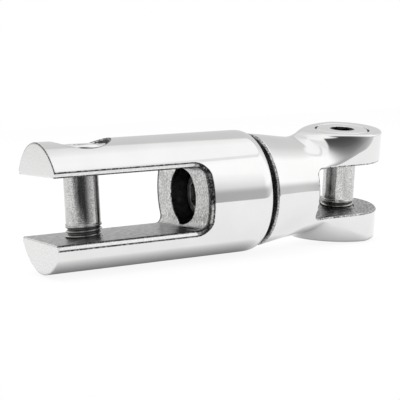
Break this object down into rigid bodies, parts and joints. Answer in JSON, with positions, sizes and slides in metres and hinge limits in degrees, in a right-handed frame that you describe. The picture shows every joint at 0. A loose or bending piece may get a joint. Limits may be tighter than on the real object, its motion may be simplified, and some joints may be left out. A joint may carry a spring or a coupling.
{
  "type": "anchor chain swivel connector",
  "caption": "Round steel swivel connector: a long fork with a removable pin takes the anchor shank, and a jaw with its own pin turns on the barrel and takes the chain.",
  "frame": {"origin": "where the anchor pin's axis crosses the swivel axis, half way across the fork's slot", "axes": "+X along the swivel axis from the anchor pin to the jaw, +Z along the anchor pin to its head"},
  "size_m": [0.0857, 0.028, 0.0288],
  "materials": {
    "polished_steel": "mirror polished stainless steel",
    "turned_steel": "satin turned stainless steel",
    "bearing_bronze": "plain bearing bronze",
    "dark_plastic": "matte"
  },
  "bodies": {
    "fork": {"anchor_fork": "polished_steel", "thrust_washer": "bearing_bronze", "bearing_bush": "bearing_bronze", "face_washer": "dark_plastic"},
    "anchor_pin": {"anchor_pin": "turned_steel"},
    "jaw": {"chain_jaw": "polished_steel", "swivel_bolt": "turned_steel"},
    "chain_pin": {"chain_pin": "turned_steel"}
  },
  "joints": [
    {"name": "swivel", "type": "hinge", "parent": "fork", "child": "jaw", "pos_m": [0.0411, 0, 0], "axis": [1, 0, 0], "continuous": true},
    {"name": "anchor_pin_slide", "type": "slide", "parent": "fork", "child": "anchor_pin", "axis": [0, 0, 1], "range_m": [0, 0.03]},
    {"name": "chain_pin_slide", "type": "slide", "parent": "jaw", "child": "chain_pin", "axis": [0, -0.1736, 0.9848], "range_m": [0, 0.03]}
  ]
}
